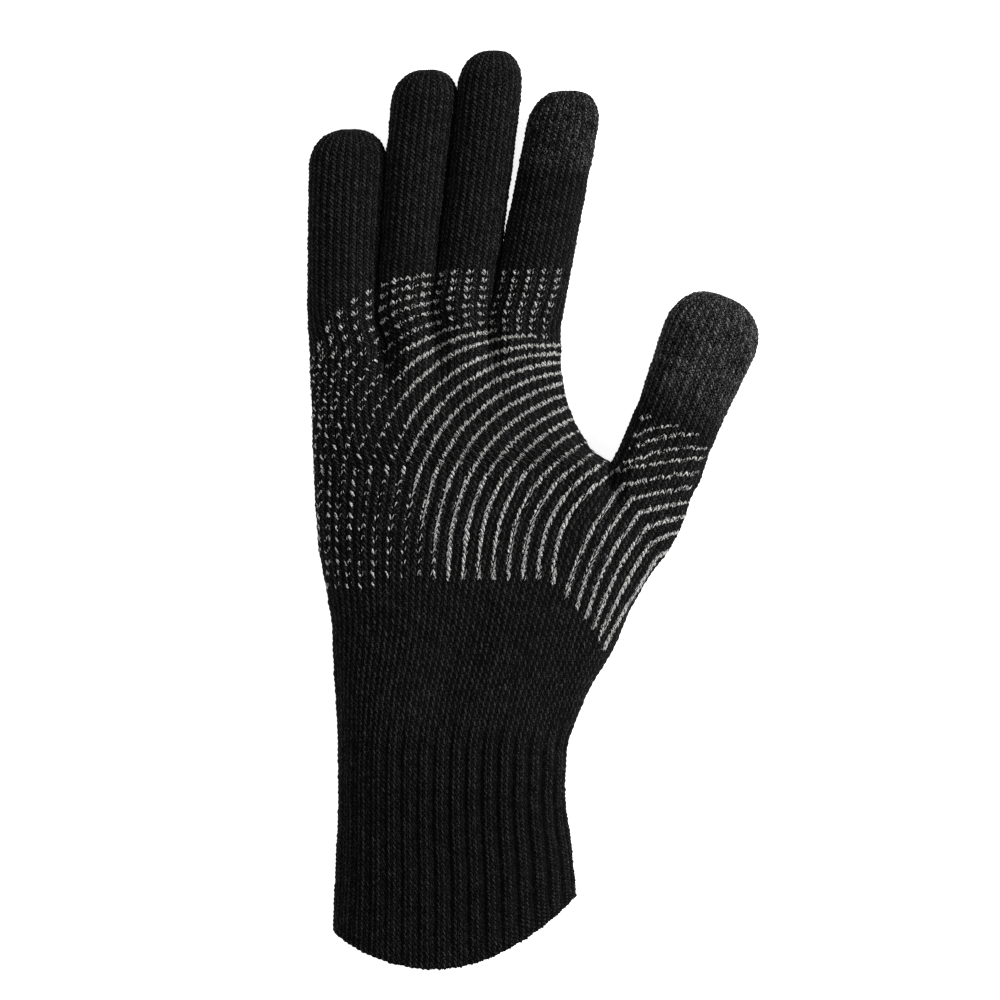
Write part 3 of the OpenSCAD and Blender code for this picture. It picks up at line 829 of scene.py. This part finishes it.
def print_lines():
    """The printed lines, each as points (x, y) seen from above.

    Twenty-two nest over the palm: each rises upright from its foot (b, c) and bends over to
    run level at its end (e, h), on ((e - x) / (e - b))^p + ((y - c) / (h - c))^p = 1. Six
    more rise bowed across the heel of the thumb and turn there. Rows run out from the last
    seven to the thumb's far side, and four bowed rows lie above those."""
    lines, t, c = [], np.linspace(0, np.pi / 2, 120), -20.0
    for k in range(-9, 13):
        if k < 0:
            b, e, h, p = -45 + 4.05 * k + 0.18 * k * k, 5.0, 46.2 - 2.27 * k, 2.3 - 0.22 * k
        else:
            b, e = -45.3 + 4.23 * k, 6 + 4.81 * k + 0.11 * k * k
            h, p = 45.7 - 2.23 * k + 0.02 * k * k, 2.32
        x = e - (e - b) * np.cos(t) ** (2 / p)
        y = c + (h - c) * np.sin(t) ** (2 / p)
        on = x <= (24.5 if k == 12 else 22)
        tail = [(22, h)] if e < 22 else np.zeros((0, 2))
        foot = (b, c + 0.6 - 0.7 * max(0, 3 - k) - 2 * max(0, k - 11))
        lines.append(np.concatenate([[foot], np.stack([x[on], y[on]], 1), tail]))
    for j in range(7):
        turn = (23.4 + 2.3 * j - 0.08 * j * j, 10.0 - 3.8 * j - 0.05 * j * j)
        if j:
            foot = (5.3 + 3.8 * j - 0.24 * j * j, -22.3 - 2.95 * j)
            lines.append(bowed(foot, turn, 2.4 - 0.06 * j * j))
        lines.append(bowed(turn, (49.8 - 1.4 * j, 14.2 - 4.15 * j), 0.3))
    for a, b, bow in (((25.9, 12.0), (51.0, 16.6), 1.6), ((27.4, 16.2), (52.5, 20.4), 1.8),
                      ((28.5, 19.7), (46.5, 22.5), 1.6), ((30.5, 24.8), (35.9, 26.2), 0.2)):
        lines.append(bowed(a, b, bow))
    return lines


def distance_to(lines, points):
    """Distance of each point from the nearest line, 9 mm at most."""
    best = np.full(len(points), 9.0)
    for line in lines:
        low, high = line.min(0) - 1.5, line.max(0) + 1.5
        near = np.flatnonzero(((points > low) & (points < high)).all(1))
        a, step = line[:-1], np.diff(line, axis=0)
        for part in np.array_split(near, max(1, len(near) // 4000)):
            to = points[part, None] - a
            t = np.clip((to * step).sum(2) / np.maximum((step**2).sum(1), 1e-9), 0, 1)
            gap = np.linalg.norm(to - t[..., None] * step, axis=2).min(1)
            best[part] = np.minimum(best[part], gap)
    return best


def print_skin(name, knit, courses, wales, solid, dotted):
    """A thin film over the crests of the stitches, wherever a printed line passes.

    A point of the fabric takes print where f > 0. f is 1 at the middle of a line and 0 at
    its edge, less what the stitch lacks in height, so a line that is not solid breaks into
    dots on the crests. solid gives how solid a line is at (x, y), and dotted how many
    courses and wales there are from dot to dot where it is not."""
    course = np.arange(courses[0] * FINE_ROWS, courses[1] * FINE_ROWS + 1) / FINE_ROWS
    wale = np.arange(wales[0] * FINE_COLS, wales[1] * FINE_COLS + 1) / FINE_COLS
    course, wale = np.broadcast_arrays(course[:, None], wale[None, :])
    points, height = knit.points(course, wale)
    # Read most of the way back along the legs' slant, the lines take a slight zigzag.
    at, normal = knit.base(course - 0.8 * chevron(wale % 1), wale)
    gap = distance_to(LINES, at[..., :2].reshape(-1, 2)).reshape(course.shape)
    rng = np.random.default_rng(knit.seed + 50)
    rough = rng.normal(0, 1, course.shape)
    rough = (rough + np.roll(rough, 1, 0) + np.roll(rough, 1, 1)) / 3
    m = solid(at[..., 0], at[..., 1])
    # Seen from above a wall is foreshortened, so the lines narrow to keep their real width.
    half = (0.8 - 0.08 * m) * np.clip(normal[..., 2] + 0.35, 0.3, 1)
    need = 0.28 - 0.22 * m
    skip = (np.floor(course) % dotted[0] >= 1) | (np.floor(wale) % dotted[1] >= 1)
    f = np.minimum(1 - gap / half + 0.55 * rough, (height - need) / 0.35 + 0.3 * rough)
    f = np.where(skip, f - 1.5 * (1 - m), f)
    f = np.where(normal[..., 2] < 0.08, -1, f)
    finished = points + normal * (0.06 + 0.2 * np.sqrt(np.clip(f, 0, 1)))[..., None]
    rows, columns = course.shape
    index = np.arange(rows * columns).reshape(rows, columns)
    quads = np.stack([index[:-1, :-1], index[:-1, 1:], index[1:, 1:], index[1:, :-1]], -1)
    on = f > 0
    quads = quads[on[:-1, :-1] & on[:-1, 1:] & on[1:, 1:] & on[1:, :-1]]
    used, quads = np.unique(quads, return_inverse=True)
    obj = make_mesh(name, finished.reshape(-1, 3)[used], quads.reshape(-1, 4))
    obj.data.materials.append(grip_film)
    return obj


LINES = print_lines()


def palm_solid(x, y):
    """Lines are dots on the little finger's side and solid from the middle of the palm."""
    edge = -37 + 9 * ease((10 - y) / 28)
    return ease((x - edge + 6) / 10)


front = HAND_WALES[0]
finish_piece(print_skin("heel_print", hand, (hand.course_at(HEEL_PRINT_FROM), hand.courses),
                        (-2, front + 3), palm_solid, (2, 1)), "hand", "grip_print", "palm_grip")
finish_piece(print_skin("palm_print", palm, (0, palm.courses), (-2, PALM_WALES[0] + 3),
                        palm_solid, (2, 1)), "hand", "grip_print")
for name, f in FINGERS.items():
    x = f["x"][0]
    m = {"little": 0.3, "ring": 0.7, "middle": 0.5, "index": 0.15}[name]
    knit = knits[name]
    finish_piece(print_skin(f"{name}_print", knit, (0, knit.course_at(FINGER_PRINT)),
                            (0, f["wales"][0]), lambda x, y, m=m: m + 0 * x, (1, 2)),
                 ("hand", f"{name}_lower"), "grip_print", f"{name}_grip",
                 blend=[(x, y, FINGER_AXIS) for y in FINGER_BASE_FOLD])
finish_piece(print_skin("thumb_print", thumb, (0, thumb.course_at(THUMB_PRINT)),
                        (0, THUMB_WALES[0]), lambda x, y: 0.75 + 0 * x, (2, 1)),
             ("hand", "thumb_lower"), "grip_print", "thumb_grip",
             blend=[on_thumb(d) for d in THUMB_BASE_FOLD])

# ---- Floor, light and camera ----------------------------------------------------------------
floor_points = [(-1500, -1500, -1), (1500, -1500, -1), (1500, 1500, -1), (-1500, 1500, -1)]
floor = make_mesh("floor", floor_points, [(0, 1, 2, 3)])
paper, tree = new_material("white_paper")
shader = add(tree, "ShaderNodeBsdfPrincipled", {
    "Base Color": colour("#f4f4f4"), "Roughness": 0.9,
    "Emission Color": (1, 1, 1, 1), "Emission Strength": 0.85})
add(tree, "ShaderNodeOutputMaterial", {"Surface": shader.outputs["BSDF"]})
floor.data.materials.append(paper)

world = bpy.data.worlds.new("studio")
world.use_nodes = True
world.node_tree.nodes["Background"].inputs["Color"].default_value = (1, 1, 1, 1)
world.node_tree.nodes["Background"].inputs["Strength"].default_value = 0.42
bpy.context.scene.world = world


def area_light(name, place, size, power):
    """A soft square lamp that looks at the glove."""
    lamp = bpy.data.lights.new(name, "AREA")
    lamp.energy, lamp.size = power, size
    obj = bpy.data.objects.new(name, lamp)
    obj.location = place
    obj.rotation_euler = (-obj.location.normalized()).to_track_quat("-Z", "Y").to_euler()
    scene_root.objects.link(obj)


area_light("key_lamp", (1.25, 0.7, 0.9), 0.6, 38.0)
area_light("fill_lamp", (-0.6, -0.3, 1.7), 1.2, 6.0)

camera_data = bpy.data.cameras.new("camera")
camera = bpy.data.objects.new("camera", camera_data)
scene_root.objects.link(camera)
# The camera looks straight down from 1.5 m; its frame is 285 mm wide at the glove.
distance, frame_width = 1.5, 0.285
camera.location = (-9.69 * MM, 1.71 * MM, distance + 0.012)
camera_data.sensor_width = 36
camera_data.lens = 36 * distance / frame_width
camera_data.clip_end = 10
bpy.context.scene.camera = camera
bpy.context.scene.view_settings.view_transform = "Standard"
